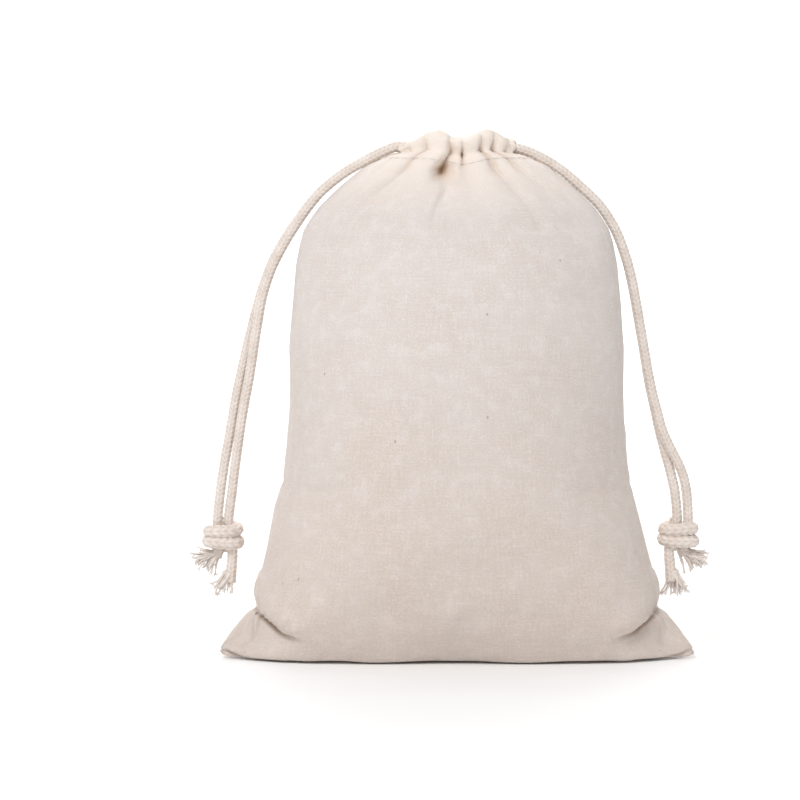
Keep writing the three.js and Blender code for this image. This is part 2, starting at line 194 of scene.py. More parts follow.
def muslin_material():
    """Unbleached plain weave: crossing threads of uneven thickness, with a few brown seed flecks."""
    nodes = Nodes("muslin_weave")
    flat = nodes.add("ShaderNodeUVMap", uv_map="flat").outputs[0]
    split = nodes.add("ShaderNodeSeparateXYZ", {0: flat}).outputs
    across, along = split[0], split[1]

    warp = nodes.noise(nodes.scaled(flat, (1 / SLUB_WIDTH, 1 / SLUB_LENGTH, 1)), 1.0, 2.0, 0.6)
    weft = nodes.noise(nodes.scaled(flat, (1 / SLUB_LENGTH, 1 / SLUB_WIDTH, 1)), 1.0, 2.0, 0.6)
    speckle = nodes.noise(flat, 1500.0, 2.0, 0.7)
    slub = nodes.math("ADD", nodes.math("MULTIPLY", warp, 0.5), nodes.math("MULTIPLY", weft, 0.5))
    wave = math.pi / THREAD_PITCH
    over = nodes.math("SINE", nodes.math("MULTIPLY", across, wave))
    under = nodes.math("SINE", nodes.math("MULTIPLY", along, wave))
    weave = nodes.math("ABSOLUTE", nodes.math("MULTIPLY", over, under))
    cloud = nodes.noise(flat, 45.0, 3.0, 0.55)
    mottle = nodes.noise(flat, 210.0, 3.0, 0.6)

    light, dark = (0.80, 0.733, 0.703, 1), (0.635, 0.555, 0.50, 1)
    colour = nodes.mix(nodes.ramp(slub, 0.32, 0.62), dark, light)
    colour = nodes.tint(colour, nodes.ramp(speckle, 0.60, 0.42), 0.9, dark)
    colour = nodes.tint(colour, nodes.ramp(weave, 0.0, 0.7), 0.30, (0.815, 0.76, 0.74, 1))
    colour = nodes.tint(colour, nodes.ramp(cloud, 0.35, 0.65), 0.35, (0.76, 0.715, 0.70, 1))
    colour = nodes.tint(colour, nodes.ramp(mottle, 0.50, 0.66), 0.28, (0.69, 0.62, 0.565, 1))
    colour = nodes.tint(colour, nodes.ramp(mottle, 0.48, 0.34), 0.28, (0.83, 0.785, 0.775, 1))

    inputs = {"Vector": nodes.scaled(flat, (1.0, 0.55, 1)), "Scale": 120.0}
    cell = nodes.add("ShaderNodeTexVoronoi", inputs, voronoi_dimensions="2D")
    pick = nodes.add("ShaderNodeSeparateColor", {0: cell.outputs["Color"]}).outputs[0]
    near = nodes.math("LESS_THAN", cell.outputs["Distance"], 0.034)
    speck = nodes.math("MULTIPLY", near, nodes.math("GREATER_THAN", pick, 0.91))
    colour = nodes.tint(colour, speck, 0.55, (0.30, 0.19, 0.10, 1))

    # Painted shade: the cloth is darkened towards the bottom of the panels, where the bag meets the floor
    colour = nodes.tint(colour, nodes.ramp(along, 0.13, 0.02), 0.8, (0.92, 0.875, 0.83, 1), "MULTIPLY")
    # Painted light: the cloth is lightened and warmed towards the top of the panels, a painted glow of light
    # through the thin gathered crown
    colour = nodes.tint(colour, nodes.ramp(along, 0.160, 0.196), 0.85, (0.98, 0.87, 0.78, 1))
    # Painted shade in the gathers' folds: the deeper the fold, the darker and browner the cloth
    fold = nodes.math("POWER", nodes.attribute("fold"), 2.6)
    colour = nodes.mix(fold, colour, (0.68, 0.50, 0.30, 1), "MULTIPLY")
    # Painted shade along the ears' creases: a dark brown line, finer than the mesh, from the distance to each
    # crease
    apart = nodes.attribute("crease_distance")
    line = nodes.math("MULTIPLY", nodes.ramp(apart, 0.0007, 0.0), nodes.ramp(apart, -0.0016, -0.0002))
    colour = nodes.tint(colour, line, nodes.attribute("crease_depth"), (0.42, 0.31, 0.22, 1), "MULTIPLY")

    height = nodes.math("ADD", nodes.math("MULTIPLY", weave, 0.6), nodes.math("MULTIPLY", slub, 0.9))
    height = nodes.math("ADD", height, nodes.math("MULTIPLY", speckle, 1.2))
    nodes.surface(colour, slub, (0.84, 0.97), height, 0.55, 0.00022, sheen=(0.12, 0.6))
    nodes.shader.inputs["Subsurface Weight"].default_value = 0.12
    nodes.shader.inputs["Subsurface Radius"].default_value = (1.0, 0.62, 0.36)
    nodes.shader.inputs["Subsurface Scale"].default_value = 0.0012
    return nodes.material


def yarn_material(name, light, dark, fibre=5200.0):
    """Soft spun cotton, with fine fibres and uneven tone."""
    nodes = Nodes(name)
    place = nodes.add("ShaderNodeTexCoord").outputs["Object"]
    fibres = nodes.noise(place, fibre, 4.0, 0.7)
    tone = nodes.noise(place, 260.0, 2.0, 0.5)
    blend = nodes.math("ADD", nodes.math("MULTIPLY", fibres, 0.5), nodes.math("MULTIPLY", tone, 0.5))
    colour = nodes.mix(nodes.ramp(blend, 0.36, 0.62), dark, light)
    # Painted shade in the grooves between the yarns, and at the roots of loose yarns
    colour = nodes.tint(colour, nodes.attribute("groove"), 0.75, (0.66, 0.52, 0.40, 1), "MULTIPLY")
    nodes.surface(colour, fibres, (0.75, 0.95), fibres, 0.5, 0.00012, sheen=(0.2, 0.5))
    return nodes.material


def herb_material():
    """Crushed dried herbs: mixed greens and browns in coarse flakes."""
    nodes = Nodes("dried_herbs")
    place = nodes.add("ShaderNodeTexCoord").outputs["Object"]
    flakes = nodes.add("ShaderNodeTexVoronoi", {"Vector": place, "Scale": 420.0})
    shade = nodes.add("ShaderNodeSeparateColor", {0: flakes.outputs["Color"]}).outputs
    colour = nodes.mix(shade[0], (0.16, 0.17, 0.05, 1), (0.36, 0.27, 0.12, 1))
    colour = nodes.tint(colour, shade[1], 0.5, (0.10, 0.06, 0.03, 1))
    nodes.surface(colour, shade[2], (0.8, 1.0), flakes.outputs["Distance"], 0.8, 0.0006)
    return nodes.material


MUSLIN = muslin_material()
BRAID = yarn_material("cotton_braid", (0.85, 0.795, 0.755, 1), (0.74, 0.665, 0.605, 1))
THREAD = yarn_material("sewing_thread", (0.84, 0.77, 0.72, 1), (0.74, 0.66, 0.59, 1), 9000.0)
HERBS = herb_material()

# ---- mesh helpers ----


def mesh_object(name, points, faces, material, uv=None, attributes=None):
    mesh = bpy.data.meshes.new(name)
    mesh.from_pydata(np.asarray(points).tolist(), [], faces)
    mesh.materials.append(material)
    mesh.polygons.foreach_set("use_smooth", [True] * len(mesh.polygons))
    if uv is not None:
        layer = mesh.uv_layers.new(name="flat")
        corner = np.empty(len(mesh.loops), dtype=np.int32)
        mesh.loops.foreach_get("vertex_index", corner)
        layer.data.foreach_set("uv", np.asarray(uv)[corner].astype(np.float32).ravel())
    for key, values in (attributes or {}).items():
        attribute = mesh.attributes.new(key, "FLOAT", "POINT")
        attribute.data.foreach_set("value", np.asarray(values, dtype=np.float32))
    mesh.update()
    piece = bpy.data.objects.new(name, mesh)
    bpy.context.collection.objects.link(piece)
    return piece


def catmull_rom(values, fine, closed=False):
    """Values along axis 0 resampled through their points, fine steps to an interval."""
    values = np.asarray(values, dtype=float)
    if closed:
        padded = np.concatenate([values[-1:], values, values[:2]])
    else:
        padded = np.concatenate([2 * values[:1] - values[1:2], values, 2 * values[-1:] - values[-2:-1]])
    count = len(padded) - 3
    t = np.arange(fine) / fine
    shape = (1, fine) + (1,) * (values.ndim - 1)
    t = t.reshape(shape)
    a, b, c, d = (padded[k:k + count][:, None] for k in range(4))
    out = 0.5 * (2 * b + (c - a) * t + (2 * a - 5 * b + 4 * c - d) * t**2 + (3 * b - a - 3 * c + d) * t**3)
    out = out.reshape((count * fine,) + values.shape[1:])
    return out if closed else np.concatenate([out, values[-1:]])


def smooth_noise(rows, columns, cell, generator):
    """Noise of about -1 to 1 over a grid, varying over about cell grid steps."""
    small = generator.normal(size=(rows // cell + 4, columns // cell + 4)) * 0.6
    return catmull_rom(catmull_rom(small, cell).T, cell).T[:rows, :columns]


def even_path(points, step):
    """A smooth route through points, resampled at even steps."""
    route = catmull_rom(points, 24)
    reach = reach_along(route)
    count = max(2, int(round(reach[-1] / step)) + 1)
    at = np.linspace(0, reach[-1], count)
    return np.stack([np.interp(at, reach, route[:, k]) for k in range(3)], axis=1), at


def path_frames(path, first=(0, 1, 0)):
    """Two directions across a path at each point, carried along it without twisting."""
    tangents = np.gradient(path, axis=0)
    tangents /= np.linalg.norm(tangents, axis=1)[:, None]
    across = np.empty_like(path)
    current = np.asarray(first, dtype=float)
    for i, tangent in enumerate(tangents):
        current = current - tangent * (current @ tangent)
        current /= np.linalg.norm(current)
        across[i] = current
    return across, np.cross(tangents, across)


def tube(path, radii, sides, first=(0, 1, 0)):
    """Points and faces of a closed tube: radii is one value, one a ring, or one a point of each ring."""
    across, up = path_frames(path, first)
    angles = np.arange(sides) * 2 * math.pi / sides
    radii = np.reshape(radii, (-1, 1)) if np.ndim(radii) == 1 else radii
    radii = np.broadcast_to(radii, (len(path), sides))
    ring = across[:, None] * np.cos(angles)[None, :, None] + up[:, None] * np.sin(angles)[None, :, None]
    points = (path[:, None] + ring * radii[:, :, None]).reshape(-1, 3)
    faces = []
    for r in range(len(path) - 1):
        for i in range(sides):
            a, b = r * sides + i, r * sides + (i + 1) % sides
            faces.append((a, b, b + sides, a + sides))
    last = (len(path) - 1) * sides
    return points, faces + [tuple(range(sides))[::-1], tuple(range(last, last + sides))]


def two_faced(outer, inner):
    """Points and faces of a closed patch between two grids, and the places on its rim."""
    rows, columns = outer.shape[:2]
    step = rows * columns
    place = np.arange(step).reshape(rows, columns)
    quads = np.stack([place[:-1, :-1], place[:-1, 1:], place[1:, 1:], place[1:, :-1]], axis=-1).reshape(-1, 4)
    faces = quads.tolist() + (quads[:, ::-1] + step).tolist()
    rim = np.concatenate([place[0, :], place[1:, -1], place[-1, -2::-1], place[-2:0:-1, 0]])
    after = np.roll(rim, -1)
    faces += np.stack([after, rim, rim + step, after + step], axis=1).tolist()
    return np.concatenate([outer.reshape(-1, 3), inner.reshape(-1, 3)]), faces, rim


def unit(vectors):
    return vectors / np.maximum(np.linalg.norm(vectors, axis=-1, keepdims=True), 1e-12)


def reach_along(path):
    """Distance along a path to each of its points"""
    return np.concatenate([[0], np.cumsum(np.linalg.norm(np.diff(path, axis=0), axis=1))])


class Pieces:
    """Collects several meshes into one."""

    def __init__(self):
        self.points, self.faces, self.groove, self.count = [], [], [], 0

    def add(self, points, faces, groove=0.0):
        self.points.append(points)
        self.faces += [tuple(i + self.count for i in face) for face in faces]
        self.groove.append(np.broadcast_to(groove, len(points)))
        self.count += len(points)

    def build(self, name, material):
        attributes = {"groove": np.concatenate(self.groove)}
        return mesh_object(name, np.concatenate(self.points), self.faces, material, attributes=attributes)


# ---- cords ----

BRAID_COLUMNS = 8
BRAID_PITCH = 0.0015


def braid_relief(angles, along, radius=CORD_RADIUS):
    """Height from 0 to 1 of a braid's plump yarns, laid in columns that slant left and right in turn."""
    a = (angles / (2 * math.pi) * BRAID_COLUMNS)[None, :]
    column = np.floor(a + 1e-6)
    u = 2 * (a - column) - 1
    slant = np.where(column % 2 == 0, 1.0, -1.0)
    phase = along[:, None] / (BRAID_PITCH * radius / CORD_RADIUS) + slant * 0.36 * u
    yarn = np.abs(np.cos(math.pi * phase)) ** 0.75
    crown = np.sqrt(np.clip(1 - 0.8 * u**2, 0, 1))
    return crown * (0.3 + 0.7 * yarn)


def braided(points, radius=CORD_RADIUS, step=0.0002, sides=48, taper=1.0):
    """Points, faces and groove depth of a braided cord along a route, with the route itself. Its girth
    grows by taper on the way."""
    path, along = even_path(points, step)
    angles = np.arange(sides) * 2 * math.pi / sides
    relief = braid_relief(angles, along, radius)
    radii = radius * (0.80 + 0.22 * relief) * np.interp(along / along[-1], [0, 1], (1.0, taper))[:, None]
    made, faces = tube(path, radii, sides)
    return made, faces, (1 - relief).reshape(-1) ** 1.5, path


def strand_points(pair, strand_side):
    points = []
    for x, y, z, apart, turn in pair:
        angle = math.radians(turn)
        shift = -strand_side * apart / 2
        points.append((x + shift * math.cos(angle), y - shift * math.sin(angle), z))
    return points


def ring_points(cord):
    side, exit_z, far_z = cord["side"], cord["exit_z"], cord["far_z"]
    start = RING_PLAN[0][0]

    def height(x):
        return exit_z + (far_z - exit_z) * (start - x) / (start - RING_FAR_X)

    front = [(side * x, -out, height(x)) for x, out in RING_PLAN]
    back = [(side * x, out, height(x)) for x, out in reversed(RING_PLAN)]
    return front + [(side * RING_FAR_X, 0, far_z)] + back


STRANDS = {"front": -1, "back": 1}
# Each strand starts inside the channel: (x, sag below the exit)
INSIDE_ROUTE = [(0.0040, 0.0014), (0.0085, 0.0009), (0.0125, 0.0003), (0.0160, 0)]

# ---- knots and frayed tails ----


def wrap_points(knot, height, mirror, lean, reach):
    """One strand's turn round the knot: down through the core, across the front and into the back."""
    x, y, z = knot
    plan = [
        (-0.9, 0.9, 3.4), (-0.2, 1.5, 0.2), (1.6, 2.4, -1.2), (3.9, 2.0, -0.5), (4.75, 0.2, -0.2),
        (3.9, -2.2, 0.0), (2.0, -3.3, 0.1), (0, -3.6, 0.0), (-2.1, -3.25, -0.1), (-3.9, -2.1, 0.0),
        (-4.7, 0.1, 0.1), (-3.8, 2.0, 0.3), (-1.8, 2.9, 0.3), (0.2, 2.1, -0.4), (1.0, 0.8, -2.2),
    ]
    points = []
    for px, py, pz in plan:
        px *= reach
        points.append((x + mirror * px * 1e-3, y + py * 1e-3, z + height + (pz + lean * px * mirror) * 1e-3))
    return points


def knot_piece(name, knot, side):
    made = Pieces()
    for height, lean, reach in ((0.00185, 0.06, 0.94), (-0.00175, -0.05, 1.0)):
        turn = wrap_points(knot, height, side, lean, reach)
        points, faces, groove, _ = braided(turn, CORD_RADIUS * 1.28, 0.00022)
        made.add(points, faces, groove)
    x, y, z = knot
    for offset in (-0.0016, 0.0017):
        foot = (x + offset * 0.9, y - 0.0006, z - 0.0052)
        core = [(x + offset, y + 0.0004, z + 0.0038), (x + offset, y, z), foot]
        points, faces, groove, _ = braided(core, CORD_RADIUS, 0.00025)
        made.add(points, faces, groove)
    return made.build(name, BRAID)


def yarn(made, start, direction, length, radius, curl, generator, sides=6):
    """One loose yarn that leaves start and bends as it goes, thinning into its tip."""
    count = 9
    point, heading = np.array(start, dtype=float), np.array(direction, dtype=float)
    bend = generator.normal(size=3) * curl
    route = [point.copy()]
    for _ in range(count):
        heading = heading + bend / count + generator.normal(size=3) * 0.06
        heading /= np.linalg.norm(heading)
        point = point + heading * length / count
        route.append(point.copy())
    path, along = even_path(route, length / 22)
    share = along / along[-1]
    radii = radius * (1 - 0.55 * share**2) * (1 + 0.16 * np.sin(along / radius * 1.1))
    points, faces = tube(path, radii, sides, first=(0.3, 1, 0.2))
    # painted shade at the yarn's root, fading towards its tip
    made.add(points, faces, 0.12 * (1 - share).repeat(sides))
    return path, heading


GOLDEN_ANGLE = 2.399963


def frayed_end(made, centre, down, spread, tail, generator):
    """The cord's yarns let go of each other; each ends in a few fibres."""
    yarns, radius = tail["yarns"], tail["radius"]
    down = down / np.linalg.norm(down)
    side_a = np.cross(down, (0, 1, 0))
    side_a /= np.linalg.norm(side_a)
    side_b = np.cross(down, side_a)
    for k in range(yarns):
        angle = GOLDEN_ANGLE * k
        out = math.sqrt((k + 0.5) / yarns)
        lateral = side_a * math.cos(angle) + side_b * math.sin(angle)
        start = centre + lateral * out * CORD_RADIUS * 0.85
        heading = down + lateral * tail["flare"] * out + spread * generator.uniform(0.3, 1.0)
        heading /= np.linalg.norm(heading)
        run = tail["length"] * generator.uniform(0.62, 1.0)
        path, final = yarn(made, start, heading, run, radius * generator.uniform(0.75, 1.2), 0.42, generator)
        for _ in range(3):
            tip = path[-4]
            loose = final + generator.normal(size=3) * 0.32
            yarn(made, tip, loose / np.linalg.norm(loose), run * 0.22, radius * 0.36, 0.9, generator, sides=4)


# The front tail hangs down, braided at first; the back tail is short and frays at once, outwards.
# Places are millimetres outwards, back and up from the knot; lengths and radii are metres
TAILS = {
    "front": {
        "route": [(-2.9, -1.2, -3.0), (-2.9, -1.5, -6.5), (-2.5, -1.6, -11.0), (-2.2, -1.5, -14.6)],
        "girth": 1.0, "taper": 1.15, "frays_at": (-1.9, -1.5, -11.1), "down": (0.15, 0, -1),
        "spread": (0.40, 0, 0), "length": 0.0088, "yarns": 26, "flare": 0.13, "radius": 0.00044,
    },
    "back": {
        "route": [(1.2, 0.8, -3.4), (1.6, 0.8, -5.2), (2.2, 0.8, -6.8)],
        "girth": 0.98, "taper": 1.1, "frays_at": (1.4, 0.8, -5.0), "down": (0.12, 0, -1),
        "spread": (1.7, 0, 0.45), "length": 0.0084, "yarns": 48, "flare": 0.45, "radius": 0.00046,
    },
}


def tail_piece(name, knot, side, tail, generator):
    made = Pieces()
    outwards = np.array([side, 1, 1])
    route = [np.array(knot) + outwards * place * 1e-3 for place in tail["route"]]
    points, faces, groove, _ = braided(route, CORD_RADIUS * tail["girth"], 0.00022, taper=tail["taper"])
    made.add(points, faces, groove)
    centre = knot + outwards * tail["frays_at"] * 1e-3
    frayed_end(made, centre, outwards * tail["down"], outwards * tail["spread"], tail, generator)
    return made.build(name, BRAID)


# ---- the bag's cloth ----

SIM_SCALE = 10.0           # cloth is simulated at ten times life size
COLUMNS, ROWS = 75, 100    # cells across one panel and up it, 2 mm each
FINE = 2                   # the finished mesh has this many cells to one simulated cell
STITCH_ROW = round(ROWS * STITCH_V / FLAT_LENGTH)
CORD_ROW = round(ROWS * CORD_V / FLAT_LENGTH)

CROWN_RADII = (0.0166, 0.0122)   # half width and depth of the gathered mouth at the cords
GAP_HALF = 0.0042                # the cords come out of an opening this far either side of each seam
GAP_DEPTH = 0.0036
# Valleys of the gathers, left to right: (x, depth, half width to the left and to the right, length of
# the fold below the cords, which way it strays on its way down, depth of its pocket)
STRAIGHT = (0, 0, 0, 0, 0)
SLANTED = (0, 0.0003, 0.0005, 0.0006, 0.0006)
HOOKED = (0, -0.0009, -0.0012, -0.0002, 0.0014)
FRONT_VALLEYS = [
    (-0.0138, 0.0012, 0.0009, 0.0009, 0.012, STRAIGHT, 0.0004),
    (-0.0098, 0.0026, 0.0010, 0.0014, 0.026, STRAIGHT, 0.0010),
    (-0.0022, 0.0044, 0.0006, 0.0034, 0.026, HOOKED, 0.0058),
    (0.0015, 0.0036, 0.0005, 0.0005, 0.0075, STRAIGHT, 0),
    (0.0074, 0.0034, 0.0009, 0.0012, 0.034, SLANTED, 0.0018),
    (0.0112, 0.0034, 0.0008, 0.0010, 0.020, SLANTED, 0.0014),
    (0.0142, 0.0018, 0.0008, 0.0008, 0.016, STRAIGHT, 0.0004),
]
BACK_VALLEYS = [
    (-0.0133, 0.0030, 0.0008, 0.0008, 0.014, STRAIGHT, 0.0008),
    (-0.0096, 0.0042, 0.0009, 0.0009, 0.020, SLANTED, 0.0016),
    (-0.0052, 0.0046, 0.0009, 0.0009, 0.013, STRAIGHT, 0.0016),
    (-0.0008, 0.0048, 0.0010, 0.0010, 0.018, SLANTED, 0.0016),
    (0.0040, 0.0046, 0.0009, 0.0009, 0.012, STRAIGHT, 0.0016),
    (0.0087, 0.0044, 0.0009, 0.0009, 0.022, STRAIGHT, 0.0016),
    (0.0127, 0.0032, 0.0008, 0.0008, 0.014, STRAIGHT, 0.0008),
]
GAP_RUN = 0.008
# fold depth at which the painted shade in the folds is darkest
DARKEST_DEPTH = 0.0085
STRAY_BELOW = (0, 0.006, 0.010, 0.014, 0.020)      # a fold's stray is given this far below the cords
POCKET_BELOW, POCKET_SPREAD = 0.0102, 0.0042
OVAL_SAMPLES = 4000


def mouth_oval():
    """Points of the gathers' outer oval, and their distance along it."""
    angle = 2 * math.pi * (np.arange(OVAL_SAMPLES) + 0.5) / OVAL_SAMPLES
    oval = np.stack([CROWN_RADII[0] * np.cos(angle), CROWN_RADII[1] * np.sin(angle)], axis=1)
    return oval, np.cumsum(np.linalg.norm(np.roll(oval, -1, axis=0) - oval, axis=1))


def valleys_at(place, below):
    """Depth of the folds at places along the oval, this far below the cords."""
    oval, along = mouth_oval()
    depth = np.zeros(len(place))
    pocketed = math.exp(-((below - POCKET_BELOW) / POCKET_SPREAD) ** 2)
    for valleys, face in ((FRONT_VALLEYS, -1), (BACK_VALLEYS, 1)):
        for x, deep, left_width, right_width, run, stray, pocket in valleys:
            centre = x + np.interp(below, STRAY_BELOW, stray)
            at = np.argmin((oval[:, 0] - centre) ** 2 + (np.sign(oval[:, 1]) - face) ** 2)
            towards_right = (place - along[at]) * -face
            near = np.exp(-np.abs(towards_right) / np.where(towards_right > 0, right_width, left_width))
            depth += (deep * math.exp(-(below / run) ** 1.6) + pocket * pocketed) * near
    gap = GAP_DEPTH * math.exp(-(below / GAP_RUN) ** 1.6)
    for at in (OVAL_SAMPLES - 1, OVAL_SAMPLES // 2):
        distance = np.abs(place - along[at])
        distance = np.minimum(distance, along[-1] - distance)
        depth = np.maximum(depth, gap * (1 - np.clip((distance - GAP_HALF + 0.0008) / 0.0016, 0, 1)))
    return depth


def mouth_path():
    """For each column of cloth on the cord line: its point on the gathers' outer oval, the way in
    from there, and its distance along the oval."""
    oval, along = mouth_oval()
    inward = np.stack([-0.45 * oval[:, 0], -oval[:, 1]], axis=1)
    inward /= np.linalg.norm(inward, axis=1)[:, None]
    line = oval + inward * valleys_at(along, 0)[:, None]
    length = np.cumsum(np.linalg.norm(np.roll(line, -1, axis=0) - line, axis=1))
    # Each panel starts and ends at a seam
    half = OVAL_SAMPLES // 2
    share = np.where(np.arange(OVAL_SAMPLES) < half, length / length[half - 1] * 0.5,
                     0.5 + 0.5 * (length - length[half - 1]) / (length[-1] - length[half - 1]))
    columns = np.arange(2 * COLUMNS) / (2 * COLUMNS)
    fields = np.concatenate([oval, inward], axis=1)
    found = np.stack([np.interp(columns, share, fields[:, k], period=1) for k in range(4)], axis=1)
    place = np.interp(columns, np.concatenate([[0], share]), np.concatenate([[0], along]))
    return found[:, :2], found[:, 2:4], place


def mouth_height(x):
    """Height of the cord line: it dips at the middle and at both ends of the mouth."""
    return MOUTH_Z - 0.0018 * np.exp(-((x - 0.0015) / 0.0042) ** 2) - 0.0020 * np.abs(x / 0.0165) ** 4


def seam_y(height):
    """The side seams lean back from the bottom seam to the mouth."""
    return SEAM_BASE_Y * (1 - height / MOUTH_Z)


# The bag before it settles, by height on the flat panel: (flat height, height, front, back)
START_FORM = [
    (0, 0.0015, -0.020, -0.020), (0.006, 0.003, -0.026, -0.002), (0.015, 0.010, -0.031, 0.020),
    (0.05, 0.043, -0.040, 0.0395), (0.10, 0.089, -0.040, 0.0395), (0.15, 0.134, -0.033, 0.032),
    (0.178, 0.1505, -0.020, 0.020), (0.188, 0.1545, -0.0145, 0.0145), (0.194, 0.1585, -0.012, 0.012),
    (0.2, 0.1645, -0.012, 0.012),
]


def starting_form():
    """Positions of the cloth grid before the simulation, and on the flat panels."""
    oval, inward, place = mouth_path()
    mouth = oval + inward * valleys_at(place, 0)[:, None]
    flat_height = np.linspace(0, FLAT_LENGTH, ROWS + 1)
    form = np.array(START_FORM)
    height, front, back = (np.interp(flat_height, form[:, 0], form[:, k]) for k in (1, 2, 3))
    outline = np.array([(0.0015, EAR_X), (0.006, 0.0725)] + OUTLINE + [(MOUTH_Z, 0.0165), (0.165, 0.0165)])
    half_width = np.interp(height, outline[:, 0], outline[:, 1])
    column = np.arange(2 * COLUMNS)
    angle = math.pi * column / COLUMNS
    seam = seam_y(height)
    depth = np.where(np.sin(angle)[None, :] > 0, (back - seam)[:, None], (seam - front)[:, None])
    grid = np.empty((ROWS + 1, 2 * COLUMNS, 3))
    grid[:, :, 0] = half_width[:, None] * np.cos(angle)
    grid[:, :, 1] = seam[:, None] + depth * np.sin(angle)
    grid[:, :, 2] = height[:, None]
    across = np.where(column <= COLUMNS, FLAT_WIDTH / 2 - FLAT_WIDTH * column / COLUMNS,
                      -FLAT_WIDTH / 2 + FLAT_WIDTH * (column - COLUMNS) / COLUMNS)
    grid[0, :, 0] = 2 * EAR_X / FLAT_WIDTH * across
    grid[0, :, 1] = SEAM_BASE_Y - 0.001
    gather = np.clip((flat_height - GATHER_V) / (CORD_V - GATHER_V), 0, 1)[:, None] ** 1.5
    flare = 1 + 8 * np.clip(flat_height - CORD_V, 0, None)[:, None]
    for k in (0, 1):
        grid[:, :, k] = grid[:, :, k] * (1 - gather) + mouth[None, :, k] * flare * gather
    grid[:, :, 2] += gather * (mouth_height(mouth[:, 0]) - MOUTH_Z)[None, :]
    flat = np.zeros_like(grid)
    flat[:, :, 0] = across
    # A hair's breadth apart, back panel first, and joined at the seams
    flat[1:, 1:COLUMNS, 1] = 0.00005
    flat[1:, COLUMNS + 1:, 1] = -0.00005
    flat[:, :, 2] = flat_height[:, None]
    return grid, flat


def welded(grid):
    """The grid's points with the bottom edge's front and back as one, and each grid place's point."""
    index = np.arange(grid.shape[0] * grid.shape[1]).reshape(grid.shape[:2])
    index -= COLUMNS - 1
    index[0, :COLUMNS + 1] = np.arange(COLUMNS + 1)
    index[0, COLUMNS + 1:] = index[0, 1:COLUMNS][::-1]
    points = np.concatenate([grid[0, :COLUMNS + 1], grid[1:].reshape(-1, 3)])
    return points, index


CLOTH_SETTINGS = {
    "quality": 8, "mass": 0.15, "air_damping": 2, "bending_model": "ANGULAR",
    "tension_stiffness": 80, "compression_stiffness": 80, "shear_stiffness": 30, "bending_stiffness": 0.35,
    "tension_damping": 10, "compression_damping": 10, "shear_damping": 10,
    "use_pressure": True, "uniform_pressure_force": 14,
}
FRAMES = 45


def settle(grid, flat):
    """Lets the sewn bag fill out and stand: pressure inside, its own weight, and the floor."""
    points, index = welded(grid)
    rest, _ = welded(flat)
    faces = []
    for j in range(ROWS):
        for i in range(2 * COLUMNS):
            n = (i + 1) % (2 * COLUMNS)
            face = (index[j, i], index[j, n], index[j + 1, n], index[j + 1, i])
            faces.append(tuple(int(f) for f in dict.fromkeys(face)))
    mesh = bpy.data.meshes.new("settling")
    mesh.from_pydata((points * SIM_SCALE).tolist(), [], faces)
    cloth = bpy.data.objects.new("settling", mesh)
    bpy.context.collection.objects.link(cloth)
    cloth.shape_key_add(name="Basis")
    key_block = cloth.shape_key_add(name="flat")
    key_block.data.foreach_set("co", (rest * SIM_SCALE).ravel())
    key_block.value = 0
    pins = cloth.vertex_groups.new(name="pins")
    pins.add([int(i) for i in index[CORD_ROW]], 1.0, "REPLACE")

    floor_mesh = bpy.data.meshes.new("settling_floor")
    floor_mesh.from_pydata([(-3, -3, 0), (3, -3, 0), (3, 3, 0), (-3, 3, 0)], [], [(0, 1, 2, 3)])
    floor = bpy.data.objects.new("settling_floor", floor_mesh)
    bpy.context.collection.objects.link(floor)
    floor.modifiers.new("collision", "COLLISION")
    floor.collision.thickness_outer = 0.004
    floor.collision.cloth_friction = 20

    modifier = cloth.modifiers.new("cloth", "CLOTH")
    for key, value in CLOTH_SETTINGS.items():
        setattr(modifier.settings, key, value)
    modifier.settings.vertex_group_mass = "pins"
    modifier.settings.rest_shape_key = key_block
    modifier.settings.effector_weights.gravity = 0.5
    modifier.collision_settings.distance_min = 0.006
    modifier.point_cache.frame_start = 1
    modifier.point_cache.frame_end = FRAMES + 1
    scene = bpy.context.scene
    for number in range(1, FRAMES + 1):
        scene.frame_set(number)
    graph = bpy.context.evaluated_depsgraph_get()
    settled = cloth.evaluated_get(graph).to_mesh()
    out = np.empty(len(settled.vertices) * 3)
    settled.vertices.foreach_get("co", out)
    scene.frame_set(1)
    for thing in (cloth, floor):
        data = thing.data
        bpy.data.objects.remove(thing)
        bpy.data.meshes.remove(data)
    return (out.reshape(-1, 3) / SIM_SCALE)[index]


def surface_normals(grid):
    """Outward unit normals of the closed grid."""
    around = np.roll(grid, -1, axis=1) - np.roll(grid, 1, axis=1)
    up = np.gradient(grid, axis=0)
    return unit(np.cross(around, up))


def blur_columns(values, width):
    """Each row blurred along its closed run of columns, by a width in cells given for each row."""
    count = values.shape[1]
    waves = np.fft.rfftfreq(count)
    keep = np.exp(-2 * (math.pi * waves[None, :] * np.asarray(width)[:, None]) ** 2)
    return np.fft.irfft(np.fft.rfft(values, axis=1) * keep[:, :, None], n=count, axis=1)


SHOULDER_ROW = 76       # above this row of the simulated grid, the gathers are laid out
LEAVING_SLOPE = (0.85, 0.22)    # how steeply the cloth leaves the cords, at the middle and at the ends


